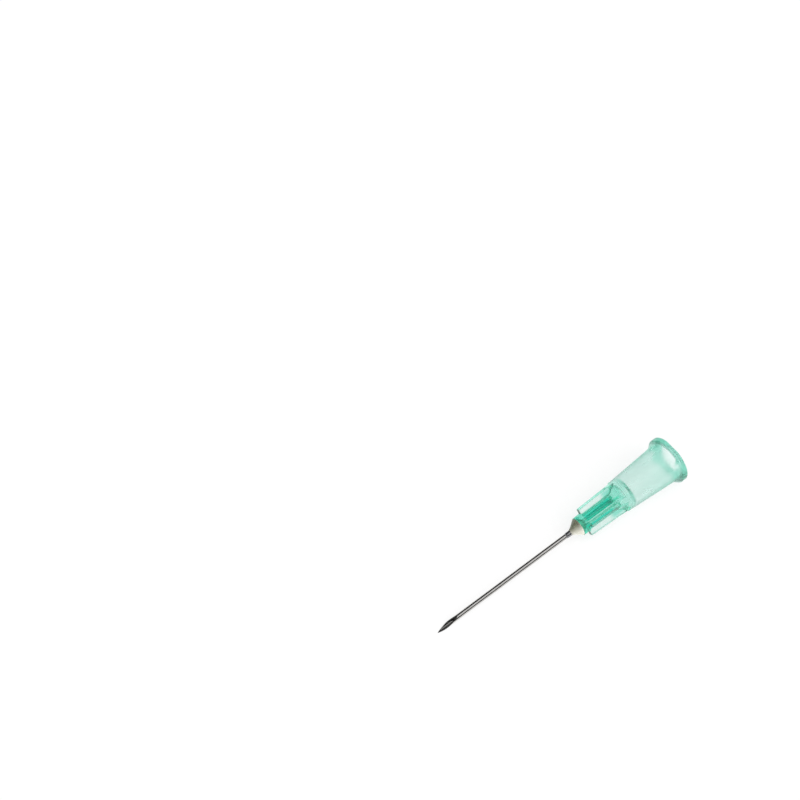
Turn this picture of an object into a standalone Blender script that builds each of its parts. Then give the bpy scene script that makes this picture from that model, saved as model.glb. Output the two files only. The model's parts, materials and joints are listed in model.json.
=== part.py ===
"""A hypodermic needle, 21 gauge by one inch, lying at rest.

Three pieces share one axis: the moulded hub with its conical socket, the
steel cannula with its ground point, and the bead of adhesive between them.
Each is drawn along its own +Z, from the mouth of the socket at zero towards
the point, and then laid down so that the flange and the point touch the
ground.  Lengths are in metres.
"""

from math import atan2, cos, pi, radians, sin

import bmesh
import bpy
from mathutils import Matrix, Vector

MM = 0.001

# Overall layout, from the mouth of the socket towards the point
HUB_LENGTH = 18.6 * MM
EXPOSED_LENGTH = 25.4 * MM      # steel in front of the adhesive: one inch
COLLAR_LENGTH = 1.2 * MM
POCKETS_START = 10.5 * MM       # rear end of the pockets between the fins
SEAT_CLEARANCE = 0.02 * MM      # between two faces that are bonded together

# Flange with its two locking lugs
LUG_RADIUS = 3.9 * MM
LUG_THICKNESS = 0.95 * MM
LUG_HALF_ANGLE = radians(54)
RIM_THICKNESS = 0.75 * MM       # the flange between the lugs
RIM_FLAT_HEIGHT = 3.7 * MM      # axis to the flat above and below
FLANGE_EDGE = 0.12 * MM
FLANGE_ROOT_LENGTH = 1.8 * MM   # where the flange runs out into the barrel
ROOT_FILLET = 0.25 * MM

# Outer skin of the barrel
BARREL_REAR_RADIUS = 3.2 * MM
BARREL_FRONT_RADIUS = 2.62 * MM

# Socket: the 6 % taper that every syringe nose fits
SOCKET_MOUTH_RADIUS = 2.15 * MM
SOCKET_TAPER = 0.06             # loss of diameter for each unit of depth
SOCKET_DEPTH = 9.2 * MM
SOCKET_EDGE = 0.12 * MM
SOCKET_FLOOR_FILLET = 0.5 * MM
FUNNEL_RADIUS = 0.75 * MM
FUNNEL_DEPTH = 0.55 * MM

# Fins, core and collar
FIN_THICKNESS = 0.8 * MM
FIN_FRONT_RADIUS = 2.38 * MM
FIN_EDGE = 0.1 * MM
CORE_FRONT_RADIUS = 1.08 * MM
CORE_REAR_RADIUS = 1.2 * MM
CORE_FLARE_LENGTH = 2.9 * MM
POCKET_FILLET = 0.3 * MM
COLLAR_RADIUS = 1.5 * MM
COLLAR_REAR_RADIUS = 1.56 * MM
COLLAR_EDGE = 0.08 * MM
WELL_MOUTH_RADIUS = 1.1 * MM
WELL_DEPTH = 1.0 * MM

# Cannula
TUBE_RADIUS = 0.4 * MM
TUBE_BORE_RADIUS = 0.257 * MM
TUBE_REAR = 11.95 * MM          # how far its rear end is from the mouth
STOP_BORE_RADIUS = 0.3 * MM     # the hub's channel behind the tube

# Ground point
BEVEL_LENGTH = 3.7 * MM
FACET_ANGLE = radians(16)       # side facet against the axis
FACET_ROLL = radians(40)        # how far the tube is rolled to grind it

# Adhesive
BEAD_RADIUS = 1.47 * MM
BEAD_EDGE = 0.06 * MM
BEAD_LENGTH = 1.65 * MM
SLEEVE_LENGTH = 1.0 * MM
SLEEVE_THICKNESS = 0.05 * MM

# Facets of the curved shapes
HUB_STEPS = 72
TUBE_STEPS = 32
BEAD_STEPS = 40
ARC_STEPS = 6
FLARE_STEPS = 10
CONE_STEPS = 8
CUTTER_MARGIN = 1.0 * MM        # how far a cutter stands clear of the hub

TIP = HUB_LENGTH + BEAD_LENGTH + EXPOSED_LENGTH
FINS_END = HUB_LENGTH - COLLAR_LENGTH
BORE_RADIUS = TUBE_RADIUS + SEAT_CLEARANCE

# The needle leans on the front edge of the flange's flat and on its point
REST_TILT = atan2(RIM_FLAT_HEIGHT - TUBE_RADIUS, TIP - RIM_THICKNESS)
MOUTH_HEIGHT = RIM_FLAT_HEIGHT * cos(REST_TILT) + RIM_THICKNESS * sin(REST_TILT)
REACH_BACK = RIM_FLAT_HEIGHT * sin(REST_TILT)
REACH_FRONT = TIP * cos(REST_TILT) - TUBE_RADIUS * sin(REST_TILT)
MOUTH_X = (REACH_FRONT - REACH_BACK) / 2


def new_collection(name):
    collection = bpy.data.collections.new(name)
    bpy.context.scene.collection.children.link(collection)
    return collection


def paint(name, colour, roughness, metallic=0.0, alpha=1.0, transmission=0.0):
    """A plain Principled material."""
    material = bpy.data.materials.new(name)
    material.use_nodes = True
    shader = material.node_tree.nodes["Principled BSDF"]
    shader.inputs["Base Color"].default_value = (*colour, 1.0)
    shader.inputs["Roughness"].default_value = roughness
    shader.inputs["Metallic"].default_value = metallic
    shader.inputs["Alpha"].default_value = alpha
    shader.inputs["Transmission Weight"].default_value = transmission
    return material


def lay_down(thing):
    """Turn a piece drawn along +Z so that it points to -X and dips to rest."""
    thing.rotation_euler = (0.0, -(pi / 2 + REST_TILT), 0.0)
    thing.location = (MOUTH_X, 0.0, MOUTH_HEIGHT)


def add_object(name, mesh, collection, material=None):
    thing = bpy.data.objects.new(name, mesh)
    collection.objects.link(thing)
    lay_down(thing)
    if material:
        mesh.materials.append(material)
    return thing


def turned(name, profile, steps, collection, material=None):
    """Turn a closed outline of (radius, height) points about the axis.

    The outline runs down the outer side and back up the inner one.
    """
    mesh = bpy.data.meshes.new(name)
    count = len(profile)
    mesh.from_pydata([(r, 0.0, z) for r, z in profile],
                     [(i, (i + 1) % count) for i in range(count)], [])
    thing = add_object(name, mesh, collection, material)
    screw = thing.modifiers.new("turn", "SCREW")
    screw.axis = "Z"
    screw.angle = 2 * pi
    screw.steps = screw.render_steps = steps
    screw.use_smooth_shade = True
    screw.use_merge_vertices = False
    return thing


def as_cutter(thing):
    thing.hide_render = True
    thing.display_type = "WIRE"
    return thing


def block(name, size, centre, collection, roll=None):
    """A box cutter: its size, its centre and an optional turn about it."""
    bm = bmesh.new()
    bmesh.ops.create_cube(bm, size=1.0)
    place = Matrix.Translation(centre) @ (roll or Matrix.Identity(4))
    bm.transform(place @ Matrix.Diagonal((*size, 1.0)))
    mesh = bpy.data.meshes.new(name)
    bm.to_mesh(mesh)
    bm.free()
    return as_cutter(add_object(name, mesh, collection))


def boolean(thing, other, operation="DIFFERENCE"):
    cut = thing.modifiers.new(other.name, "BOOLEAN")
    cut.operation = operation
    cut.object = other
    cut.solver = "EXACT"
    return cut


def arc(centre_r, centre_z, radius, start, end, steps=ARC_STEPS):
    """Points of an arc in the (radius, height) plane, ends included."""
    return [(centre_r + radius * cos(start + (end - start) * i / steps),
             centre_z + radius * sin(start + (end - start) * i / steps))
            for i in range(steps + 1)]


def socket_radius(depth):
    return SOCKET_MOUTH_RADIUS - SOCKET_TAPER / 2 * depth


def hub_profile():
    """Outline of the hub before its lugs and pockets are cut."""
    outside = [
        (COLLAR_RADIUS - COLLAR_EDGE, HUB_LENGTH),
        (COLLAR_RADIUS, HUB_LENGTH - COLLAR_EDGE),
        (COLLAR_REAR_RADIUS, FINS_END),
        (FIN_FRONT_RADIUS - FIN_EDGE, FINS_END),
        (FIN_FRONT_RADIUS, FINS_END - FIN_EDGE),
        (BARREL_FRONT_RADIUS, POCKETS_START),
        (BARREL_REAR_RADIUS, FLANGE_ROOT_LENGTH),
        (LUG_RADIUS - FLANGE_EDGE, LUG_THICKNESS),
        (LUG_RADIUS, LUG_THICKNESS - FLANGE_EDGE),
        (LUG_RADIUS, FLANGE_EDGE),
        (LUG_RADIUS - FLANGE_EDGE, 0.0),
    ]
    floor_fillet = arc(socket_radius(SOCKET_DEPTH) - SOCKET_FLOOR_FILLET,
                       SOCKET_DEPTH - SOCKET_FLOOR_FILLET,
                       SOCKET_FLOOR_FILLET, 0.0, pi / 2)
    inside = [
        (SOCKET_MOUTH_RADIUS + SOCKET_EDGE, 0.0),
        (socket_radius(SOCKET_EDGE), SOCKET_EDGE),
        *floor_fillet,
        (FUNNEL_RADIUS, SOCKET_DEPTH),
        (STOP_BORE_RADIUS, SOCKET_DEPTH + FUNNEL_DEPTH),
        (STOP_BORE_RADIUS, TUBE_REAR - SEAT_CLEARANCE),
        (BORE_RADIUS, TUBE_REAR - SEAT_CLEARANCE),
        (BORE_RADIUS, HUB_LENGTH - WELL_DEPTH),
        (WELL_MOUTH_RADIUS, HUB_LENGTH),
    ]
    return outside + inside


def pocket_profile():
    """Outline of the ring that is cut away between the fins.

    Its inner side is the core: a quarter ellipse that comes down from the
    skin at the rear, a slow taper, and a fillet against the collar in front.
    """
    foot = POCKETS_START + CORE_FLARE_LENGTH
    rise = BARREL_FRONT_RADIUS + FIN_EDGE - CORE_REAR_RADIUS
    flare = [(CORE_REAR_RADIUS + rise * (1 - cos(turn)),
              foot - CORE_FLARE_LENGTH * sin(turn))
             for turn in (pi / 2 * i / FLARE_STEPS
                          for i in range(FLARE_STEPS, -1, -1))]
    fillet = arc(CORE_FRONT_RADIUS + POCKET_FILLET, FINS_END - POCKET_FILLET,
                 POCKET_FILLET, pi, pi / 2)
    outer = LUG_RADIUS + CUTTER_MARGIN
    lip = FINS_END + POCKET_FILLET
    return [(outer, lip), (outer, POCKETS_START), *flare, *fillet,
            (COLLAR_REAR_RADIUS + POCKET_FILLET, lip)]


def gap_profile():
    """Outline of the ring that thins the flange between its lugs."""
    outer = LUG_RADIUS + CUTTER_MARGIN
    beyond = FLANGE_ROOT_LENGTH + CUTTER_MARGIN
    root = BARREL_REAR_RADIUS + SEAT_CLEARANCE
    fillet = arc(root + ROOT_FILLET, RIM_THICKNESS + ROOT_FILLET,
                 ROOT_FILLET, 1.5 * pi, pi)
    return [(outer, beyond), (outer, RIM_THICKNESS), *fillet, (root, beyond)]


def adhesive_profile():
    """Outline of the cured bead: plug, concave cone and wetted sleeve."""
    base = HUB_LENGTH + SEAT_CLEARANCE
    waist = HUB_LENGTH + BEAD_LENGTH
    sleeve = BORE_RADIUS + SLEEVE_THICKNESS
    rise = waist - base - BEAD_EDGE
    cone = [(sleeve + (BEAD_RADIUS - sleeve) * (1 - t) ** 1.5,
             base + BEAD_EDGE + rise * t)
            for t in (i / CONE_STEPS for i in range(CONE_STEPS, -1, -1))]
    slope = (WELL_MOUTH_RADIUS - BORE_RADIUS) / WELL_DEPTH
    plug_end = SLEEVE_THICKNESS + 2 * SEAT_CLEARANCE
    depth = WELL_DEPTH - plug_end / slope
    mouth = WELL_MOUTH_RADIUS - 2 * SEAT_CLEARANCE
    return [(BORE_RADIUS + SLEEVE_THICKNESS / 3, waist + SLEEVE_LENGTH),
            *cone,
            (BEAD_RADIUS - BEAD_EDGE, base),
            (mouth, base),
            (mouth - slope * depth, base - depth),
            (BORE_RADIUS, base - depth),
            (BORE_RADIUS, waist + SLEEVE_LENGTH)]


def prism(name, outline, low, high, collection):
    """A closed prism between two heights on a flat outline of (x, y) points."""
    bm = bmesh.new()
    face = bm.faces.new([bm.verts.new((x, y, low)) for x, y in outline])
    raised = bmesh.ops.extrude_face_region(bm, geom=[face])
    top = [v for v in raised["geom"] if isinstance(v, bmesh.types.BMVert)]
    bmesh.ops.translate(bm, verts=top, vec=(0.0, 0.0, high - low))
    bmesh.ops.recalc_face_normals(bm, faces=bm.faces)
    mesh = bpy.data.meshes.new(name)
    bm.to_mesh(mesh)
    bm.free()
    return as_cutter(add_object(name, mesh, collection))


def cross_outline(half, reach):
    """Outline of four equal arms set at 45 degrees to the axes."""
    outline = []
    for arm in range(4):
        turn = pi / 4 + arm * pi / 2
        along = Vector((cos(turn), sin(turn)))
        across = Vector((-sin(turn), cos(turn)))
        outline += [along * reach - across * half,
                    along * reach + across * half,
                    (along + across) * half]
    return outline


def make_hub(parts, cutters, material):
    hub = turned("hub", hub_profile(), HUB_STEPS, parts, material)
    reach = 2 * LUG_RADIUS

    # The flange is thin and flat between the lugs, above and below
    half_gap = pi / 2 - LUG_HALF_ANGLE
    for side, place in ((1, "upper"), (-1, "lower")):
        wedge = prism(f"{place}_wedge",
                      [(0.0, 0.0),
                       (side * reach, -side * reach * sin(half_gap) / cos(half_gap)),
                       (side * reach, side * reach * sin(half_gap) / cos(half_gap))],
                      0.0, 2 * reach, cutters)
        gap = as_cutter(turned(f"{place}_gap", gap_profile(), HUB_STEPS, cutters))
        boolean(gap, wedge, "INTERSECT")
        boolean(hub, gap)
        flat = block(f"{place}_flat", (LUG_RADIUS, 2 * reach, 4 * LUG_THICKNESS),
                     (side * (RIM_FLAT_HEIGHT + LUG_RADIUS / 2), 0.0, 0.0),
                     cutters)
        boolean(hub, flat)

    # Four pockets leave four fins round the core
    cross = prism("fin_cross", cross_outline(FIN_THICKNESS / 2, reach),
                  FLANGE_ROOT_LENGTH, HUB_LENGTH + reach, cutters)
    pockets = as_cutter(turned("pockets", pocket_profile(), HUB_STEPS, cutters))
    boolean(pockets, cross)
    boolean(hub, pockets)
    return hub


def make_cannula(parts, cutters, material):
    """The tube, ground by one long bevel and two rolled side facets."""
    rear = TUBE_REAR
    blank = TIP + TUBE_RADIUS
    tube = turned("cannula",
                  [(TUBE_RADIUS, blank), (TUBE_RADIUS, rear),
                   (TUBE_BORE_RADIUS, rear), (TUBE_BORE_RADIUS, blank)],
                  TUBE_STEPS, parts, material)
    point = Vector((-TUBE_RADIUS, 0.0, TIP))
    grinds = {"main_bevel": Vector((BEVEL_LENGTH, 0.0, 2 * TUBE_RADIUS))}
    for side, place in ((1, "left"), (-1, "right")):
        grinds[f"{place}_facet"] = Vector((
            cos(FACET_ANGLE) * cos(FACET_ROLL),
            cos(FACET_ANGLE) * sin(FACET_ROLL) * side,
            sin(FACET_ANGLE)))
    size = 4 * BEVEL_LENGTH
    for name, normal in grinds.items():
        turn = normal.to_track_quat("X", "Z").to_matrix().to_4x4()
        wheel = block(name, (size, size, size),
                      point + normal.normalized() * size / 2, cutters, turn)
        boolean(tube, wheel)
    return tube


def main():
    for thing in list(bpy.data.objects):
        bpy.data.objects.remove(thing)
    parts = new_collection("hypodermic_needle")
    cutters = new_collection("cutters")

    green = paint("green_polypropylene", (0.16, 0.58, 0.40), 0.25,
                  transmission=0.8)
    steel = paint("bright_steel", (0.62, 0.63, 0.64), 0.18, metallic=1.0)
    resin = paint("cured_epoxy", (0.50, 0.47, 0.36), 0.3, transmission=0.5)

    make_hub(parts, cutters, green)
    make_cannula(parts, cutters, steel)
    turned("adhesive", adhesive_profile(), BEAD_STEPS, parts, resin)


main()
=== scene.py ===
# %% [markdown]
# # A hypodermic needle
#
# The object is a single-use needle lying on a white table: a steel tube with
# a ground point, a green translucent plastic hub that pushes onto a syringe,
# and the little bead of resin that bonds the two.  The model gives the
# places and the sizes.  This lesson makes the fine surfaces over it, and the
# finishes that let light through the plastic.

# %% Load the model
import json
from math import atan, cos, pi, radians, sin

import bpy
import numpy as np
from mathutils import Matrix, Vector


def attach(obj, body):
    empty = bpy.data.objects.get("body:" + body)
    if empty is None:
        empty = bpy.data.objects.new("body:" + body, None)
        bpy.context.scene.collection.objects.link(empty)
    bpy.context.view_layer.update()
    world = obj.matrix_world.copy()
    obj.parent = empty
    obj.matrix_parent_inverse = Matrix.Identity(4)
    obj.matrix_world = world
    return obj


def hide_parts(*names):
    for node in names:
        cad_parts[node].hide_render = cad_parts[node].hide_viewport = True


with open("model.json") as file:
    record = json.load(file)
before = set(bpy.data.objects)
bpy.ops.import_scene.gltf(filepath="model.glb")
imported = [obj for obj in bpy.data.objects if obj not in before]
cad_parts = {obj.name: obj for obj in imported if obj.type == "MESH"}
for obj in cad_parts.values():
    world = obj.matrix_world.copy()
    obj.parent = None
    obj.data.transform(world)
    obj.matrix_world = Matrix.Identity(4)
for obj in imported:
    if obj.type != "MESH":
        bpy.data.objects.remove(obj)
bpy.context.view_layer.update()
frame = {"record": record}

# %% [markdown]
# ## The needle's own directions
#
# The needle leans: it rests on the flange of its hub and on its point.  A
# turned part is easiest to think of along its own axis, so every shape below
# is worked out in three numbers: x is up from the axis, y is across it and z
# runs from the mouth of the socket towards the point.  The flange's end face
# is recorded with the model, and its direction gives the lean.

# %% From the needle's own numbers to the table's
MM = 0.001
MOUNT_HEIGHT = 3.0 * MM          # the recorded point lies this far above the axis

mouth_face = next(m for m in frame["record"]["mounts"] if m["name"] == "mouth_face")
BACK = np.array(mouth_face["axis"]) / np.linalg.norm(mouth_face["axis"])
UP = np.array([-BACK[2], 0.0, BACK[0]])
ACROSS = np.array([0.0, 1.0, 0.0])
MOUTH = np.array(mouth_face["pos_m"]) - MOUNT_HEIGHT * UP
LEAN = float(np.arcsin(BACK[2]))


def lay(x, y, z):
    """Points of the table for arrays of the needle's own x, y and z."""
    return MOUTH + x[..., None] * UP + y[..., None] * ACROSS - z[..., None] * BACK


print("axis leans", round(float(np.degrees(LEAN)), 3), "degrees")

# %% [markdown]
# ## Softened paths
#
# Every piece here is a path carried once round the axis.  A moulded edge is
# never knife-sharp, and light shows that, so each corner of a path may be
# softened.  A corner is four things: its distance from the axis, its place
# along it, how far from the corner the softening starts, and how many points
# the curve gets.  The first three may differ from one direction round the
# axis to the next, which is how a round part gets lugs and fins.

# %% A path with softened corners
MOST_OF_A_LINE = 0.45            # how much of either line a softening may take
SHORTEST = 1e-9                  # metres, so that no divisor is zero


def plain(radius, height):
    """A corner that stays as it is."""
    return (radius, height, 0.0, 1)


def row_count(corners):
    """How many rows a list of corners becomes."""
    return sum(steps for *_, steps in corners)


def softened(corners, columns):
    """Rows of (radius, height) for every column of a closed path.

    Where a corner has more than one step, the path leaves the line into it
    at the softening distance and meets the line out of it at the same
    distance, along (1 - t)^2 start + 2 t (1 - t) corner + t^2 end.
    """
    place = np.array([[np.broadcast_to(r, columns), np.broadcast_to(z, columns)]
                      for r, z, _, _ in corners], float)
    rows = []
    for i, (_, _, softness, steps) in enumerate(corners):
        here = place[i]
        if steps == 1:
            rows.append(here)
            continue
        back = place[i - 1] - here
        on = place[(i + 1) % len(corners)] - here
        room_back = np.maximum(np.hypot(*back), SHORTEST)
        room_on = np.maximum(np.hypot(*on), SHORTEST)
        reach = np.minimum(softness, MOST_OF_A_LINE * np.minimum(room_back, room_on))
        start = here + back / room_back * reach
        end = here + on / room_on * reach
        for t in np.linspace(0.0, 1.0, steps):
            rows.append((1 - t) ** 2 * start + 2 * t * (1 - t) * here + t ** 2 * end)
    return np.array(rows)


def even_turns(columns):
    """Evenly spaced directions round the axis."""
    return np.arange(columns) * 2 * pi / columns


def carried(path, turn):
    """A path's points at every turn: (r cos turn, r sin turn, z), laid on the table."""
    r, z = path[:, 0], path[:, 1]
    return lay(r * np.cos(turn), r * np.sin(turn), z)


# %% [markdown]
# ## From a grid of points to a closed skin
#
# A path carried round an axis is a grid that closes both ways, like the skin
# of a ring.  All its faces are worked out at once from the grid's shape.  The
# sign of the volume says whether they look outwards, and if not, the winding
# is turned over.

# %% A closed skin from a grid


def placed(name, data):
    """A new object in the scene."""
    thing = bpy.data.objects.new(name, data)
    bpy.context.scene.collection.objects.link(thing)
    return thing


def grid_faces(rows, columns, closed):
    """Faces (i, j), (i, j+1), (i+1, j+1), (i+1, j) of a grid of points.

    A closed grid counts on from its last row and column to its first.
    """
    spare = 0 if closed else 1
    i, j = np.meshgrid(np.arange(rows - spare), np.arange(columns - spare), indexing="ij")
    down, right = (i + 1) % rows, (j + 1) % columns
    return np.stack([i * columns + j, i * columns + right,
                     down * columns + right, down * columns + j], -1).reshape(-1, 4)


def ring_skin(name, points, node, materials, rows_of_second=()):
    """A mesh on a grid (rows, columns, 3) that is closed in both directions.

    Rows named in rows_of_second take the second material.  Its volume is the
    sum of a . (b x c + c x d) / 6 over the faces (a, b, c, d).
    """
    rows, columns = points.shape[:2]
    faces = grid_faces(rows, columns, closed=True)
    flat = points.reshape(-1, 3)
    a, b, c, d = (flat[faces[:, k]] for k in range(4))
    volume = np.einsum("ij,ij->", a, np.cross(b, c) + np.cross(c, d)) / 6
    if volume < 0:
        faces = faces[:, ::-1]
    mesh = bpy.data.meshes.new(name)
    mesh.vertices.add(len(flat))
    mesh.vertices.foreach_set("co", flat.astype(np.float32).ravel())
    mesh.loops.add(faces.size)
    mesh.loops.foreach_set("vertex_index", faces.astype(np.int32).ravel())
    mesh.polygons.add(len(faces))
    mesh.polygons.foreach_set("loop_start", np.arange(0, faces.size, 4, dtype=np.int32))
    mesh.polygons.foreach_set("use_smooth", np.ones(len(faces), bool))
    for material in materials:
        mesh.materials.append(material)
    if len(rows_of_second):
        second = np.isin(np.arange(len(faces)) // columns, rows_of_second)
        mesh.polygons.foreach_set("material_index", second.astype(np.int32))
    mesh.update(calc_edges=True)
    piece = placed(name, mesh)
    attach(piece, "root")
    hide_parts(node)
    print(name, len(faces) * 2, "triangles, volume", round(abs(volume) / MM ** 3, 3), "mm3")


# %% [markdown]
# ## Nodes in few words
#
# The finishes are trees of nodes.  A few small helpers keep them readable.
# One adds a node and sets its sockets.  Others give a place on the piece, turn
# a noise into colours or into a wavy skin, and fade or mix what they are given.

# %% Helpers for the finishes
NOISE_RANGE = (0.3, 0.7)             # most values of a noise lie between these
WHITE = (1.0, 1.0, 1.0)


def new_finish(name):
    """An empty material and its tree of nodes."""
    material = bpy.data.materials.new(name)
    material.use_nodes = True
    material.node_tree.nodes.clear()
    return material, material.node_tree


def add(tree, kind, values=None, **settings):
    """A node, with its sockets joined to other sockets or set from values.

    A colour is given as three numbers and gets its fourth here.
    """
    node = tree.nodes.new("ShaderNode" + kind)
    for key, value in settings.items():
        setattr(node, key, value)
    for key, value in (values or {}).items():
        socket = node.inputs[key]
        if isinstance(value, bpy.types.NodeSocket):
            tree.links.new(value, socket)
        elif socket.type == "RGBA":
            socket.default_value = (*value, 1.0)
        else:
            socket.default_value = value
    return node


def object_place(tree):
    """The place on a piece, in metres."""
    return add(tree, "TexCoord").outputs["Object"]


def along_axis(tree, stretch):
    """The place on a piece times stretch, turned by the needle's lean."""
    return add(tree, "Mapping", {
        "Vector": object_place(tree),
        "Rotation": (0.0, LEAN, 0.0),
        "Scale": stretch,
    }).outputs["Vector"]


def from_axis(tree):
    """Metres in front of the socket's mouth, and metres from the axis."""
    place = add(tree, "Mapping", {
        "Vector": object_place(tree),
        "Rotation": (0.0, LEAN, 0.0),
        "Location": (float(-MOUTH @ BACK), 0.0, float(-MOUTH @ UP)),
    }).outputs["Vector"]
    behind = add(tree, "SeparateXYZ", {"Vector": place}).outputs[0]
    aside = add(tree, "VectorMath", {0: place, 1: (0.0, 1.0, 1.0)}, operation="MULTIPLY")
    radius = add(tree, "VectorMath", {0: aside.outputs[0]}, operation="LENGTH")
    return both(tree, behind, -1.0), radius.outputs["Value"]


def both(tree, first, second):
    """The product of two numbers, such as two shares."""
    return add(tree, "Math", {0: first, 1: second}, operation="MULTIPLY").outputs[0]


def faded(tree, value, start, end):
    """0 at start, 1 at end and a soft change between them."""
    return add(tree, "MapRange", {
        "Value": value, "From Min": start, "From Max": end,
    }, interpolation_type="SMOOTHSTEP").outputs[0]


def mixed(tree, share, first, second):
    """The first colour where share is 0, the second where it is 1."""
    return add(tree, "MixRGB", {"Fac": share, "Color1": first, "Color2": second}).outputs[0]


def ramp(tree, value, first, second, positions=NOISE_RANGE):
    """The first colour up to one position, the second from the other on."""
    node = add(tree, "ValToRGB", {"Fac": value})
    for element, position, colour in zip(
            node.color_ramp.elements, positions, (first, second)):
        element.position = position
        element.color = (*colour, 1.0)
    return node.outputs["Color"]


def grey(level):
    """A colour without a hue."""
    return (level, level, level)


def noise(tree, place, scale=1.0, detail=2.0, roughness=0.5):
    """Soft random values round a half."""
    return add(tree, "TexNoise", {
        "Vector": place, "Scale": scale, "Detail": detail, "Roughness": roughness,
    }).outputs["Fac"]


def wavy(tree, height, strength, distance):
    """The direction of a skin that rises by up to distance where height does."""
    return add(tree, "Bump", {
        "Height": height, "Strength": strength, "Distance": distance,
    }).outputs["Normal"]


def depth_of_colour(tree, tint, density):
    """A volume that leaves the tint of light that goes a long way through."""
    return add(tree, "VolumeAbsorption", {"Color": tint, "Density": density}).outputs[0]


# %% [markdown]
# ## Green plastic
#
# The hub is moulded in tinted polypropylene.  Its colour deepens where light
# goes a long way through it, and its skin carries the faint flow marks of the
# mould.  The depth of colour is a volume that swallows red light first.  A
# painted green surface would look the same thick or thin, so it would lose
# the pale barrel and the clear fins.
#
# In the photograph the barrel looks frosted and the fins glossy, so the
# roughness falls from one to the other where the pockets start.  The core,
# the rear of the pockets, the nose and the rim look greener than the volume
# alone renders them, so their skin is tinted as well, and that of the fins
# very faintly.

# %% The plastic
PLASTIC_TINT = (0.02, 0.86, 0.67)    # what a long way through the plastic leaves
PLASTIC_DEPTH = 130.0                # how fast it swallows the rest, per metre
PLASTIC_BEND = 1.42                  # the real 1.49 renders thin edges dark grey
WALL_COLOURS = ((0.955, 1.0, 0.985), (0.985, 1.0, 0.995))
FROSTED, GLOSSY = (0.25, 0.33), (0.16, 0.21)
FROST_FADE = (10.6 * MM, 9.6 * MM)   # gone at the first, full at the second
FLOW_STRETCH = (260.0, 900.0, 900.0)  # steps a metre: along, across and up
FLOW_DETAIL = 3.0
FLOW_WAVES = (0.12, 0.05 * MM)       # strength and height
# A colour of the skin, then where it fades in: nothing at the first length and
# all of it at the second, ahead of the mouth and away from the axis.
SKINS = {
    "fins": ((0.90, 0.99, 0.96), [(10.6 * MM, 11.4 * MM)], (1.7 * MM, 2.0 * MM)),
    "pockets": ((0.38, 0.86, 0.73),
                [(9.9 * MM, 10.6 * MM), (13.6 * MM, 12.4 * MM)], (2.5 * MM, 2.2 * MM)),
    "core": ((0.012, 0.6, 0.40), [(11.0 * MM, 12.6 * MM)], (1.6 * MM, 1.25 * MM)),
    "nose": ((0.12, 0.76, 0.57), [(17.0 * MM, 17.6 * MM)], (1.9 * MM, 1.6 * MM)),
    "rim": ((0.34, 0.84, 0.70), [(1.3 * MM, 0.8 * MM)], (3.2 * MM, 3.6 * MM)),
}


def make_plastic():
    """Clear plastic with a depth of colour, tinted skins and two finishes."""
    material, tree = new_finish("green polypropylene")
    flow = noise(tree, along_axis(tree, FLOW_STRETCH), detail=FLOW_DETAIL)
    ahead, radius = from_axis(tree)
    colour = ramp(tree, flow, *WALL_COLOURS)
    for tint, lengths, radii in SKINS.values():
        share = faded(tree, radius, *radii)
        for start, end in lengths:
            share = both(tree, share, faded(tree, ahead, start, end))
        colour = mixed(tree, share, colour, tint)
    glossy, frosted = (ramp(tree, flow, *map(grey, span)) for span in (GLOSSY, FROSTED))
    shader = add(tree, "BsdfPrincipled", {
        "Base Color": colour,
        "Roughness": mixed(tree, faded(tree, ahead, *FROST_FADE), glossy, frosted),
        "IOR": PLASTIC_BEND,
        "Transmission Weight": 1.0,
        "Normal": wavy(tree, flow, *FLOW_WAVES),
    })
    add(tree, "OutputMaterial", {
        "Surface": shader.outputs[0],
        "Volume": depth_of_colour(tree, PLASTIC_TINT, PLASTIC_DEPTH)})
    return material


plastic = make_plastic()
print("finish", plastic.name)

# %% [markdown]
# ## The hub's cross-section
#
# In front of the socket the barrel is cut away into four fins round a thin
# core, so that the mould cools evenly and fingers get a grip.  Seen from the
# axis, every direction meets the surface once: at the tip of a fin, on its
# rounded edge, on its flat side, in the fillet at its root, or on the core.
# So one formula in the angle off a fin gives the whole section, and no
# cutting is needed.

# %% One direction of the fin section
FIN_THICKNESS = 0.8 * MM
FIN_EDGE = 0.1 * MM
FIN_ROOT = 0.22 * MM
SHALLOW_SHARE = 0.35             # of a shallow pocket's depth, for its roundings
LEAST_SLANT = 0.01               # a least sine or cosine, so that no divisor is zero


def fin_section(angle, skin, core):
    """Distance from the axis to the hub, at an angle off a fin's middle.

    The tip is the circle of radius skin and the bottom that of radius core.
    The side is the line at half a thickness, which is half / sin(angle) away.
    Two small circles touch the side and the tip, and the side and the core,
    and the ray meets each at p + sqrt(e^2 - q^2) or p - sqrt(e^2 - q^2), with
    e its radius, and p and q the places of its centre along and across the ray.
    """
    half = FIN_THICKNESS / 2
    depth = skin - core
    edge = np.minimum(FIN_EDGE, SHALLOW_SHARE * depth)
    root = np.minimum(FIN_ROOT, SHALLOW_SHARE * depth)
    edge_out = np.sqrt((skin - edge) ** 2 - (half - edge) ** 2)
    root_out = np.sqrt((core + root) ** 2 - (half + root) ** 2)
    c, s = np.cos(angle), np.sin(angle)

    def met(out, side, radius, sign):
        """Where the ray meets the small circle about (out, side)."""
        along, across = out * c + side * s, out * s - side * c
        return along + sign * np.sqrt(np.maximum(radius ** 2 - across ** 2, 0.0))

    return np.select(
        [angle < np.arctan2(half - edge, edge_out),
         angle < np.arctan2(half, edge_out),
         angle < np.arctan2(half, root_out),
         angle < np.arctan2(half + root, root_out)],
        [skin + 0 * angle,
         met(edge_out, half - edge, edge, 1),
         half / np.maximum(s, LEAST_SLANT),
         met(root_out, half + root, root, -1)],
        core + 0 * angle)


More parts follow.
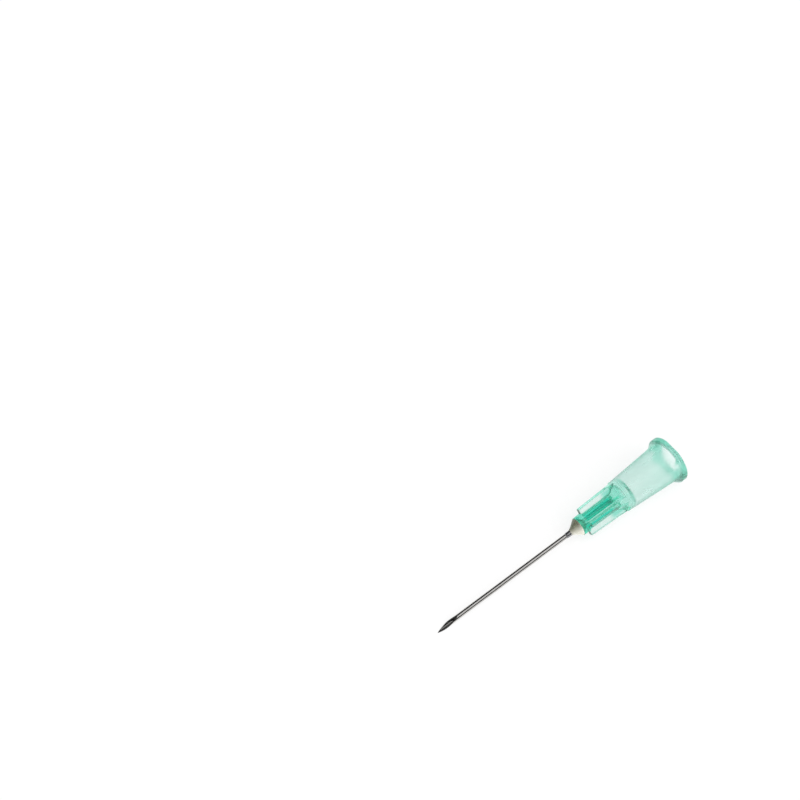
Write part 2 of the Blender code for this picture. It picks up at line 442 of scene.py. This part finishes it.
# %% [markdown]
# ## Where the columns stand
#
# The fins' sides run almost straight away from the axis, so evenly spaced
# columns would miss them.  The columns crowd where a side begins and ends,
# and the same crowd serves the ends of the locking lugs.

# %% The hub's columns
FINS = 4
FIRST_FIN = radians(45)
# Degrees off a fin's middle where a band starts and stops, and its columns.
COLUMN_BANDS = ((0.0, 7.6, 4), (7.6, 11.2, 22), (11.2, 19.0, 11), (19.0, 26.0, 10))
LAST_BAND = (26.0, 45.0, 7)

half_fin = np.concatenate([np.linspace(*band, endpoint=False) for band in COLUMN_BANDS]
                          + [np.linspace(*LAST_BAND)])
one_fin = np.radians(np.concatenate([-half_fin[:0:-1], half_fin[:-1]]))
fin_middles = FIRST_FIN + np.arange(FINS) * 2 * pi / FINS
TURN = (fin_middles[:, None] + one_fin).ravel()
OFF_FIN = np.abs(np.tile(one_fin, FINS))
print(len(TURN), "columns round the hub")

# %% [markdown]
# ## The hub
#
# Its path starts in the mouth of the socket, goes out over the flange, along
# the barrel and the fins to the glued nose, and comes back inside through the
# channel of the tube and the 6 % socket.  The two lugs at the sides of the
# flange are thicker than the rim between them, which is cut flat above and
# below.  The pockets run out into the barrel in a quarter ellipse.

# %% Sizes of the hub
HUB_LENGTH = 18.6 * MM
COLLAR_LENGTH = 1.2 * MM
POCKETS_START = 10.5 * MM
FINS_END = HUB_LENGTH - COLLAR_LENGTH
LUG_RADIUS = 3.9 * MM
LUG_EDGE_HEIGHT = 0.88 * MM
LUG_HALF_ANGLE = radians(54)
LUG_END = radians(8.0)            # half the turn in which a lug rises
LUG_FOOT = (0.35 * MM, 0.4 * MM)  # how far its slope ends outside the barrel, and ahead
RIM_THICKNESS = 0.75 * MM
RIM_FLAT_HEIGHT = 3.7 * MM
FLANGE_EDGE = 0.12 * MM
FLANGE_ROOT_LENGTH = 1.8 * MM
ROOT_FILLET = 0.25 * MM
ROOT_RUN_OUT = 0.3 * MM           # the softening where the root meets the barrel
BARREL_REAR_RADIUS = 3.2 * MM
BARREL_FRONT_RADIUS = 2.62 * MM
BARREL_ROWS = np.array([0.4, 0.75])
FIN_FRONT_RADIUS = 2.38 * MM
CORE_FRONT_RADIUS = 1.08 * MM
CORE_REAR_RADIUS = 1.2 * MM
CORE_FLARE_LENGTH = 2.9 * MM
FLARE_FOOT = POCKETS_START + CORE_FLARE_LENGTH
WALL_SLOPE = 20                   # how steeply the flare goes on past its ellipse
POCKET_RIM = 0.09 * MM            # the rounding where a pocket leaves the barrel
POCKET_FILLET = 0.3 * MM
POCKET_SIDE = (radians(14), radians(22))  # off a fin: here the fillet takes over
COLLAR_RADIUS = 1.5 * MM
COLLAR_REAR_RADIUS = 1.56 * MM
COLLAR_EDGE = 0.08 * MM
COLLAR_ROOT = 0.06 * MM
SOCKET_MOUTH_RADIUS = 2.15 * MM
SOCKET_TAPER = 0.06
SOCKET_DEPTH = 9.2 * MM
SOCKET_EDGE = 0.12 * MM
SOCKET_FLOOR_FILLET = 0.5 * MM
MOUTH_LAND = 0.3 * MM             # a row stands this far outside the socket's edge
FUNNEL_RADIUS = 0.75 * MM
FUNNEL_DEPTH = 0.55 * MM
FUNNEL_EDGE = 0.08 * MM
FUNNEL_THROAT = 0.1 * MM
STOP_BORE_RADIUS = 0.3 * MM
STOP_EDGE = 0.02 * MM
TUBE_RADIUS = 0.4 * MM
TUBE_REAR = 11.95 * MM
WELL_MOUTH_RADIUS = 1.1 * MM
WELL_DEPTH = 1.0 * MM
WELL_EDGE = 0.03 * MM
WETTING = 0.006 * MM              # how far bonded skins sink into each other

SWEEP_ROWS = 26                   # rows along the quarter ellipse
ROWS_BEHIND = np.array([1.06, 1.03, 1.015, 1.006])  # flare lengths behind its foot
FIN_ROWS = 6                      # rows along the fins, counted from the foot
LAST_FIN_ROW = 0.45 * MM          # the last stands this far behind the fins' front
FRONT_ROW = 0.4 * MM              # and the front's own first row this far

# %% Formulas for the hub


def step_between(value, low, high):
    """0 below low, 1 above high and t^2 (3 - 2t) between them."""
    t = np.clip((value - low) / (high - low), 0.0, 1.0)
    return t * t * (3 - 2 * t)


def blended_least(a, b, width):
    """The lesser of a and b, less (width - |a - b|)^2 / (4 width) where that is near."""
    nearness = np.maximum(width - np.abs(a - b), 0.0) / width
    return np.minimum(a, b) - nearness ** 2 * width / 4


def core_radius(z):
    """The bottom of a pocket: a quarter ellipse down from the skin, then a taper.

    The ellipse is rise (1 - sqrt(1 - u^2)), with u the share of the flare's
    length from its foot back to z.
    """
    rise = BARREL_FRONT_RADIUS + FIN_EDGE - CORE_REAR_RADIUS
    reach = np.maximum((FLARE_FOOT - z) / CORE_FLARE_LENGTH, 0.0)
    flare = rise * (1 - np.sqrt(np.maximum(1 - reach ** 2, 0.0)))
    wall = rise * WALL_SLOPE * np.maximum(reach - 1, 0.0)
    taper = np.clip((z - FLARE_FOOT) / (FINS_END - FLARE_FOOT), 0.0, 1.0)
    return CORE_REAR_RADIUS + (CORE_FRONT_RADIUS - CORE_REAR_RADIUS) * taper + flare + wall


def socket_radius(depth):
    """The socket narrows by its taper, which is counted across it."""
    return SOCKET_MOUTH_RADIUS - SOCKET_TAPER / 2 * depth


# %% The hub's path, piece by piece


def flange_and_barrel():
    """Corners from the mouth's face over the flange to the barrel's front."""
    off_side = np.abs(np.abs(np.mod(TURN, pi) - pi / 2))
    lug = 1 - step_between(off_side, LUG_HALF_ANGLE - LUG_END, LUG_HALF_ANGLE + LUG_END)
    flat = RIM_FLAT_HEIGHT / np.maximum(np.abs(np.cos(TURN)), LEAST_SLANT)
    rim = np.minimum(LUG_RADIUS, flat)
    thickness = RIM_THICKNESS + (LUG_EDGE_HEIGHT - RIM_THICKNESS) * lug
    foot_out, foot_ahead = LUG_FOOT
    barrel_r = BARREL_REAR_RADIUS + (BARREL_FRONT_RADIUS - BARREL_REAR_RADIUS) * BARREL_ROWS
    barrel_z = FLANGE_ROOT_LENGTH + (POCKETS_START - FLANGE_ROOT_LENGTH) * BARREL_ROWS
    return [
        plain(SOCKET_MOUTH_RADIUS + SOCKET_EDGE + MOUTH_LAND, 0.0),
        (rim, 0.0, FLANGE_EDGE, 6),
        (rim, thickness, FLANGE_EDGE, 6),
        (BARREL_REAR_RADIUS + foot_out * lug, thickness + foot_ahead * lug, ROOT_FILLET, 7),
        (BARREL_REAR_RADIUS, FLANGE_ROOT_LENGTH, ROOT_RUN_OUT, 5),
        *map(plain, barrel_r, barrel_z),
    ]


def fins_and_core():
    """Rows along the fins, crowded where the pockets run out."""
    sweep = np.sin(np.linspace(radians(90), 0.0, SWEEP_ROWS))
    z = np.concatenate([
        FLARE_FOOT - CORE_FLARE_LENGTH * ROWS_BEHIND,
        FLARE_FOOT - CORE_FLARE_LENGTH * sweep,
        np.linspace(FLARE_FOOT, FINS_END - LAST_FIN_ROW, FIN_ROWS)[1:],
    ])[:, None]
    share = (z - POCKETS_START) / (FINS_END - POCKETS_START)
    skin = BARREL_FRONT_RADIUS + (FIN_FRONT_RADIUS - BARREL_FRONT_RADIUS) * share
    core = blended_least(core_radius(z), skin, POCKET_RIM)
    r = fin_section(OFF_FIN[None, :], skin, core)
    return np.stack([r, np.broadcast_to(z, r.shape)], 1)


def nose_and_inside():
    """Corners from the fins' front over the nose and back through the socket."""
    end = fin_section(OFF_FIN, FIN_FRONT_RADIUS, CORE_FRONT_RADIUS)
    pocket = step_between(OFF_FIN, *POCKET_SIDE)
    bore = TUBE_RADIUS - WETTING
    return [
        plain(end, FINS_END - FRONT_ROW),
        (end, FINS_END, FIN_EDGE + (POCKET_FILLET - FIN_EDGE) * pocket, 8),
        (COLLAR_REAR_RADIUS, FINS_END, COLLAR_ROOT, 5),
        (COLLAR_RADIUS, HUB_LENGTH, COLLAR_EDGE, 6),
        (WELL_MOUTH_RADIUS, HUB_LENGTH, WELL_EDGE, 4),
        (bore, HUB_LENGTH - WELL_DEPTH, WELL_EDGE, 3),
        (bore, TUBE_REAR - WETTING, STOP_EDGE, 3),
        (STOP_BORE_RADIUS, TUBE_REAR - WETTING, STOP_EDGE, 3),
        (STOP_BORE_RADIUS, SOCKET_DEPTH + FUNNEL_DEPTH, FUNNEL_THROAT, 5),
        (FUNNEL_RADIUS, SOCKET_DEPTH, FUNNEL_EDGE, 5),
        (socket_radius(SOCKET_DEPTH), SOCKET_DEPTH, SOCKET_FLOOR_FILLET, 9),
        plain(socket_radius(SOCKET_DEPTH / 2), SOCKET_DEPTH / 2),
        (SOCKET_MOUTH_RADIUS, 0.0, SOCKET_EDGE, 6),
    ]


def make_hub():
    """The hub in one skin, with the fins' rows put in between its corners."""
    rear = flange_and_barrel()
    path = softened(rear + nose_and_inside(), len(TURN))
    split = row_count(rear)
    path = np.concatenate([path[:split], fins_and_core(), path[split:]])
    ring_skin("hub_moulding", carried(path, TURN), "hub", [plastic])


make_hub()

# %% [markdown]
# ## Steel
#
# The tube is drawn through a die and polished, which leaves fine lines along
# it.  Its point is ground on a wheel, which leaves marks across it and a
# duller face.  Both are the same metal, so both finishes are one function
# with another direction for the lines.  Inside the ground tip the bore is
# dark, so its wall takes the darker ground finish too: painted shade.

# %% The steel
STEEL_TONES = ((0.93, 0.91, 0.88), (1.07, 1.05, 1.02))  # times a finish's level
TONE_STRETCH = (700.0, 1500.0, 1500.0)
LINE_GRAIN = {"detail": 4.0, "roughness": 0.65}
LINE_HEIGHT = 0.004 * MM
DULL_SPREAD = 0.1                    # how much duller than the rest a line can be


def make_steel(name, stretch, dull, depth, level):
    """Polished steel with fine lines: stretch says which way they run."""
    material, tree = new_finish(name)
    lines = noise(tree, along_axis(tree, stretch), **LINE_GRAIN)
    cloud = noise(tree, along_axis(tree, TONE_STRETCH))
    tones = (tuple(part * level for part in tone) for tone in STEEL_TONES)
    shader = add(tree, "BsdfPrincipled", {
        "Base Color": ramp(tree, cloud, *tones),
        "Metallic": 1.0,
        "Roughness": ramp(tree, lines, grey(dull), grey(dull + DULL_SPREAD)),
        "Normal": wavy(tree, lines, depth, LINE_HEIGHT),
    })
    add(tree, "OutputMaterial", {"Surface": shader.outputs[0]})
    return material


drawn_steel = make_steel("drawn steel", stretch=(600.0, 26000.0, 26000.0),
                         dull=0.13, depth=0.25, level=0.625)
# the ground face's own finish, and painted shade on the wall of the bore
ground_steel_and_bore_shade = make_steel("ground steel and bore shade", stretch=(30000.0, 2500.0, 2500.0),
                          dull=0.22, depth=0.4, level=0.36)
print("finishes", drawn_steel.name, ground_steel_and_bore_shade.name)

# %% [markdown]
# ## The tube and its ground point
#
# The point is made as it is in the works.  One long slanting grind opens the
# bore into an oval, and two side grinds, with the tube rolled a little to
# each side, sharpen the tip.  Each grind is a plane, and what is left of the
# tube ends at whichever plane comes first.  The lowest of three planes is a
# height over the tube's own cross-section, so the ground face is a formula
# too.

# %% The tube
BEAD_LENGTH = 1.65 * MM
EXPOSED_LENGTH = 25.4 * MM
TIP = HUB_LENGTH + BEAD_LENGTH + EXPOSED_LENGTH
TUBE_BORE_RADIUS = 0.257 * MM
BEVEL_LENGTH = 3.7 * MM
FACET_ANGLE = radians(16)
FACET_ROLL = radians(40)
RIDGE_WIDTH = 0.05 * MM
REAR_EDGE, BORE_REAR_EDGE = 0.03 * MM, 0.02 * MM
TIP_EDGE, BORE_TIP_EDGE = 0.012 * MM, 0.01 * MM
EDGE_STEPS = 4
TUBE_COLUMNS = 96
OUTER_ROWS = (0.15, 0.3, 0.45, 0.6, 0.75, 0.86, 0.93, 0.97)  # shares of its length
FACE_ROWS = (0.85, 0.6, 0.4, 0.15)   # shares of the wall, from outside to inside
BORE_ROWS = (0.95, 0.85, 0.6, 0.3)


def ground_end(x, y):
    """Where the tube ends over (x, y): the least of the three grinds' planes.

    Over off, the height above the tube's lowest line, the bevel falls back by
    its length times off / diameter.  A side grind falls back by
    (cos roll * off + sin roll * |y|) / tan(angle).
    """
    off = x + TUBE_RADIUS
    bevel = TIP - BEVEL_LENGTH / (2 * TUBE_RADIUS) * off
    steep = cos(FACET_ANGLE) / sin(FACET_ANGLE)
    side = TIP - steep * (cos(FACET_ROLL) * off + sin(FACET_ROLL) * np.abs(y))
    return blended_least(bevel, side, RIDGE_WIDTH)


def make_tube():
    """The tube in one skin: the outer wall, the ground face, then back inside."""
    turn = even_turns(TUBE_COLUMNS)
    wall = TUBE_RADIUS - TUBE_BORE_RADIUS

    def end(radius):
        """Where the tube ends at a radius, for every turn."""
        return ground_end(radius * np.cos(turn), radius * np.sin(turn))

    def along(radius, shares):
        """Rows at shares of the way from the rear end to the ground one."""
        return [plain(radius, TUBE_REAR + (end(radius) - TUBE_REAR) * share)
                for share in shares]

    outside = [(TUBE_RADIUS, TUBE_REAR, REAR_EDGE, EDGE_STEPS),
               *along(TUBE_RADIUS, OUTER_ROWS),
               (TUBE_RADIUS, end(TUBE_RADIUS), TIP_EDGE, EDGE_STEPS)]
    face = [TUBE_BORE_RADIUS + wall * share for share in FACE_ROWS]
    inside = [*(plain(radius, end(radius)) for radius in face),
              (TUBE_BORE_RADIUS, end(TUBE_BORE_RADIUS), BORE_TIP_EDGE, EDGE_STEPS),
              *along(TUBE_BORE_RADIUS, BORE_ROWS),
              (TUBE_BORE_RADIUS, TUBE_REAR, BORE_REAR_EDGE, EDGE_STEPS)]
    path = softened(outside + inside, TUBE_COLUMNS)
    # rows of the ground face, and of the bore, where the darker finish is painted shade
    ground_and_bore_shade_rows = np.arange(row_count(outside) - EDGE_STEPS + 1, len(path) - 1)
    ring_skin("cannula_tube", carried(path, turn), "cannula",
              [drawn_steel, ground_steel_and_bore_shade], ground_and_bore_shade_rows)


make_tube()

# %% [markdown]
# ## Resin
#
# The bead is cured epoxy, glossy outside because surface tension smoothed
# it.  Its near side is a cloudy cream, and its far side is olive: painted
# shade.  One mask across the bead changes both that painted shade and how
# clear the resin is.  At its front end the resin is only a film on the steel,
# so there the finish becomes a dull metal: a clear film so thin would render
# as a bright white ring.  The plug inside the hub is cloudy all through.

# %% The resin
RESIN_TINT = (0.74, 0.68, 0.45)
RESIN_DEPTH = 300.0
RESIN_BEND = 1.52
RESIN_GLOSS = (0.2, 0.3)
CLOUDY_COLOURS = ((0.86, 0.83, 0.72), (0.95, 0.93, 0.84))
# painted shade: the olive that darkens the bead's far side
OLIVE_PAINTED_SHADE = (0.27, 0.28, 0.18)
FILM_COLOUR = (0.36, 0.36, 0.37)
HAZE_STRETCH = (1100.0, 1600.0, 1600.0)
HAZE_DETAIL = 3.0
HAZE_WAVES = (0.15, 0.04 * MM)        # strength and height
PAINTED_SHADE_WAY = np.array([0.0, 0.88, 0.47])  # out of the cloudy side, towards the painted olive shade
PAINTED_SHADE_REACH = 1.0 * MM                # the painted shade changes over this far either side of the axis
CLEAR_SHARES = (0.25, 0.55)           # how clear: at the cloudy side, at the other
PLUG_FADE = 0.1 * MM                  # the plug's cloud ends this far round the nose
FILM_START = 20.1 * MM                # ahead of the mouth
FILM_FADE = 0.25 * MM


def make_resin():
    """Epoxy: cloudy near side, painted olive shade on the far one, dull film in front."""
    material, tree = new_finish("cured epoxy")
    haze = noise(tree, along_axis(tree, HAZE_STRETCH), detail=HAZE_DETAIL)
    ahead, _ = from_axis(tree)
    film = faded(tree, ahead, FILM_START, FILM_START + FILM_FADE)
    outside = faded(tree, ahead, HUB_LENGTH - PLUG_FADE, HUB_LENGTH + PLUG_FADE)
    # painted shade: a mask across the bead, olive and clearer at its far side
    height = add(tree, "VectorMath", {0: object_place(tree), 1: PAINTED_SHADE_WAY.tolist()},
                 operation="DOT_PRODUCT").outputs["Value"]
    middle = float((MOUTH - FILM_START * BACK) @ PAINTED_SHADE_WAY)
    far = faded(tree, height, middle - PAINTED_SHADE_REACH, middle + PAINTED_SHADE_REACH)
    clear = add(tree, "MapRange", {
        "Value": far, "To Min": CLEAR_SHARES[0], "To Max": CLEAR_SHARES[1]}).outputs[0]
    cloudy = ramp(tree, haze, *CLOUDY_COLOURS)
    body = mixed(tree, both(tree, far, outside), cloudy, OLIVE_PAINTED_SHADE)
    shader = add(tree, "BsdfPrincipled", {
        "Base Color": mixed(tree, film, body, FILM_COLOUR),
        "Metallic": film,
        "Roughness": ramp(tree, haze, *map(grey, RESIN_GLOSS)),
        "IOR": RESIN_BEND,
        "Transmission Weight": both(tree, clear, outside),
        "Normal": wavy(tree, haze, *HAZE_WAVES),
    })
    add(tree, "OutputMaterial", {
        "Surface": shader.outputs[0],
        "Volume": depth_of_colour(tree, RESIN_TINT, RESIN_DEPTH)})
    return material


resin = make_resin()
print("finish", resin.name)

# %% [markdown]
# ## The bead
#
# Liquid resin wets the steel and draws out along it: a cone with hollow
# sides, then a thin sleeve.  While it cures the needle lies still, so the
# cone sags a little on the lower side.  A plug of the same resin fills the
# well in the hub's nose.

# %% The bead of resin
BEAD_RADIUS = 1.47 * MM
BEAD_EDGE = 0.1 * MM
BEAD_SAG = 0.1 * MM
CONE_POWER = 1.5
CONE_ROWS = np.linspace(0.06, 1.0, 22)  # shares of the cone's length
SLEEVE_LENGTH = 1.0 * MM
SLEEVE_THICKNESS = 0.05 * MM
SLEEVE_WAVE = 0.1                     # how much of its length the ragged end takes
THIN_SHARES = (0.7, 0.6)              # at this share of its length it is this thick
EVEN_SHARE = 0.45                     # up to here it has its full thickness
FEATHER = 0.002 * MM                  # its end stands this far off its own bore
BEAD_COLUMNS = 128


def make_bead():
    """The cone's radius is sleeve + (bead - sleeve)(1 - t)^1.5, with a sag.

    The sag is greatest at the middle of the cone and at its lower side:
    4 t (1 - t) (1 - cos turn) / 2.  The sleeve's end wanders with cos 2 turn.
    """
    turn = even_turns(BEAD_COLUMNS)
    low = (1 - np.cos(turn)) / 2
    sleeve = TUBE_RADIUS + SLEEVE_THICKNESS
    bore = TUBE_RADIUS - WETTING
    waist = HUB_LENGTH + BEAD_LENGTH
    corners = [plain(bore, HUB_LENGTH - WELL_DEPTH),
               plain(bore + 2 * WETTING, HUB_LENGTH - WELL_DEPTH),
               (WELL_MOUTH_RADIUS + WETTING, HUB_LENGTH - WETTING, WELL_EDGE, 3),
               (BEAD_RADIUS, HUB_LENGTH - WETTING, BEAD_EDGE, 6)]
    for t in CONE_ROWS:
        radius = sleeve + (BEAD_RADIUS - sleeve) * (1 - t) ** CONE_POWER
        corners.append(plain(radius + BEAD_SAG * 4 * t * (1 - t) * low,
                             HUB_LENGTH + BEAD_LENGTH * t))
    thin_at, thickness = THIN_SHARES
    end = SLEEVE_LENGTH * (1 - SLEEVE_WAVE + SLEEVE_WAVE * np.cos(2 * turn + 1.0))
    corners += [plain(sleeve, waist + SLEEVE_LENGTH * EVEN_SHARE),
                plain(TUBE_RADIUS + SLEEVE_THICKNESS * thickness,
                      waist + SLEEVE_LENGTH * thin_at),
                plain(bore + FEATHER, waist + end)]
    ring_skin("epoxy_bead", carried(softened(corners, BEAD_COLUMNS), turn),
              "adhesive", [resin])


make_bead()

# %% [markdown]
# ## Table
#
# The photograph has a plain white ground with next to no shadow on it.  The
# table's own colour is a pale grey that the light reaches, and the eye,
# mirrors and clear plastic see it mostly as plain white.  What is left of the
# lit colour carries the soft shadow.  A brighter lamp could whiten the ground
# too, but it would wash out the colours of the needle.

# %% The table
TABLE_HALF = 1.2
TABLE_CORNERS = ((-1, -1), (1, -1), (1, 1), (-1, 1))
TABLE_LEVELS = (0.96, 0.98)
SPECKLE_SCALE = 900.0
WHITE_SHARE = 0.76


def seen_directly(tree):
    """1 for what the eye, a mirror or a clear piece sees, 0 for scattered light."""
    rays = add(tree, "LightPath").outputs
    seen = rays["Is Camera Ray"]
    for kind in ("Is Glossy Ray", "Is Transmission Ray"):
        seen = add(tree, "Math", {0: seen, 1: rays[kind]}, operation="MAXIMUM").outputs[0]
    return seen


def make_table():
    """A square that is lit as pale grey and mostly seen as white."""
    material, tree = new_finish("white table")
    speckle = noise(tree, object_place(tree), scale=SPECKLE_SCALE)
    lit = add(tree, "BsdfDiffuse", {"Color": ramp(tree, speckle, *map(grey, TABLE_LEVELS))})
    white = add(tree, "Emission", {"Color": WHITE, "Strength": 1.0})
    surface = add(tree, "MixShader", {
        0: both(tree, seen_directly(tree), WHITE_SHARE),
        1: lit.outputs[0], 2: white.outputs[0]})
    add(tree, "OutputMaterial", {"Surface": surface.outputs[0]})
    mesh = bpy.data.meshes.new("table")
    mesh.from_pydata([(x * TABLE_HALF, y * TABLE_HALF, 0.0) for x, y in TABLE_CORNERS],
                     [], [(0, 1, 2, 3)])
    mesh.materials.append(material)
    table = placed("table", mesh)


make_table()
print("table", TABLE_HALF * 2, "m wide")

# %% [markdown]
# ## Light
#
# In the photograph the bead, the core and the barrel are paler towards the
# lower right, so the light comes from the near side.  The world is therefore
# a soft box all round, bright at the near side and dim at the far one.  Only
# scattered light sees that: to the eye, to mirrors and through clear plastic
# the world is plain white.

# %% The world's light
NEAR_LIGHT = 1.85
FAR_LIGHT = 0.2


def make_world():
    """White to the eye and to mirrors; as a light, brighter from the near side."""
    world = bpy.data.worlds.new("studio")
    bpy.context.scene.world = world
    world.use_nodes = True
    tree = world.node_tree
    tree.nodes.clear()
    direction = add(tree, "TexCoord").outputs["Generated"]
    farward = add(tree, "SeparateXYZ", {"Vector": direction}).outputs["Y"]
    level = add(tree, "MapRange", {
        "Value": farward, "From Min": -1.0, "From Max": 1.0,
        "To Min": NEAR_LIGHT, "To Max": FAR_LIGHT}).outputs[0]
    studio = add(tree, "Background", {"Color": WHITE, "Strength": level})
    white = add(tree, "Background", {"Color": WHITE, "Strength": 1.0})
    surface = add(tree, "MixShader", {
        0: seen_directly(tree), 1: studio.outputs[0], 2: white.outputs[0]})
    add(tree, "OutputWorld", {"Surface": surface.outputs[0]})


make_world()
print("world", NEAR_LIGHT, "at the near side,", FAR_LIGHT, "at the far side")

# %% [markdown]
# ## Black tent
#
# Polished steel shows what stands round it.  The two dark lines and the
# bright streak on the tube are a dark surround and the white table, so a
# tent of black cloth stands over the needle.  Only mirrors see it, and it
# lightens to grey beyond both ends of the needle, so that the steel doesn't
# turn black when it is looked at along its length.

# %% The black tent
TENT_RADIUS = 0.8
TENT_RISES = (3.0, 90.0)             # degrees above the table
TENT_ROWS, TENT_COLUMNS = 12, 41
TENT_LEVEL = 0.02
END_LEVEL = 0.4
END_SHARES = (0.54, 0.9)             # where it starts to lighten, and stops


def make_tent():
    """A dome over the table that only mirrors see, dark in its middle part.

    Its points are R (cos rise cos turn, cos rise sin turn, sin rise), and it
    lightens with |x| / R.
    """
    rise = np.radians(np.linspace(*TENT_RISES, TENT_ROWS))[:, None]
    turn = np.radians(np.linspace(0.0, 360.0, TENT_COLUMNS))[None, :]
    points = TENT_RADIUS * np.stack(np.broadcast_arrays(
        np.cos(rise) * np.cos(turn), np.cos(rise) * np.sin(turn), np.sin(rise)), -1)
    faces = grid_faces(TENT_ROWS, TENT_COLUMNS, closed=False)[:, ::-1]
    mesh = bpy.data.meshes.new("black_tent")
    mesh.from_pydata(points.reshape(-1, 3).tolist(), [], faces.tolist())
    material, tree = new_finish("black cloth")
    sideways = add(tree, "VectorMath", {
        0: object_place(tree), 1: (1.0 / TENT_RADIUS, 0.0, 0.0)}, operation="MULTIPLY")
    share = add(tree, "VectorMath", {0: sideways.outputs[0]}, operation="LENGTH")
    glow = add(tree, "Emission", {"Color": ramp(
        tree, share.outputs["Value"], grey(TENT_LEVEL), grey(END_LEVEL), END_SHARES)})
    add(tree, "OutputMaterial", {"Surface": glow.outputs[0]})
    mesh.materials.append(material)
    tent = placed("black_tent", mesh)
    for kind in ("camera", "diffuse", "transmission", "shadow"):
        setattr(tent, "visible_" + kind, False)
    return tent


tent = make_tent()
print("tent", len(tent.data.polygons), "faces")

# %% [markdown]
# ## Lamp
#
# One large soft lamp above adds a gentle highlight and a weak shadow under
# the hub.

# %% The lamp
LAMP_PLACE = Vector((0.139, -0.116, 0.466))
LAMP_SIZE = 0.42
LAMP_POWER = 0.45


def facing(direction):
    """The turn of a lamp or a camera that looks in a direction."""
    return direction.to_track_quat("-Z", "Y").to_euler()


def make_lamp():
    """A square lamp that looks at the origin."""
    light = bpy.data.lights.new("overhead_box", "AREA")
    light.shape = "SQUARE"
    light.size = LAMP_SIZE
    light.energy = LAMP_POWER
    lamp = placed("overhead_box", light)
    lamp.location = LAMP_PLACE
    lamp.rotation_euler = facing(-LAMP_PLACE)


make_lamp()

# %% [markdown]
# ## Camera
#
# The camera looks down at the table from the near side, turned towards the
# end where the point is.  The needle fills only the lower right of the
# photograph, so the camera aims past it.

# %% The camera
CAMERA_DISTANCE = 250 * MM
CAMERA_TURN = radians(-37.41)
CAMERA_RISE = radians(56.23)
CAMERA_AIM = Vector((-2.34, 35.86, 0.0)) * MM
CAMERA_RANGE = (0.01, 10.0)          # metres: the nearest and the farthest that it sees
SENSOR_WIDTH = 36.0
FOCAL_PIXELS = 1555.4
FRAME_PIXELS = 800


def make_camera():
    """The photograph's view: so far from the aim, at so much turn and rise."""
    data = bpy.data.cameras.new("camera")
    data.sensor_width = SENSOR_WIDTH
    data.lens = SENSOR_WIDTH * FOCAL_PIXELS / FRAME_PIXELS
    data.clip_start, data.clip_end = CAMERA_RANGE
    camera = placed("camera", data)
    back = Vector((sin(CAMERA_TURN) * cos(CAMERA_RISE),
                   -cos(CAMERA_TURN) * cos(CAMERA_RISE), sin(CAMERA_RISE)))
    camera.location = CAMERA_AIM + back * CAMERA_DISTANCE
    camera.rotation_euler = facing(-back)
    bpy.context.scene.camera = camera
    return camera


camera = make_camera()
bpy.context.scene.view_settings.view_transform = "Standard"
print("camera", [round(v, 4) for v in camera.location],
      "sees", round(float(np.degrees(2 * atan(FRAME_PIXELS / 2 / FOCAL_PIXELS))), 1), "degrees")
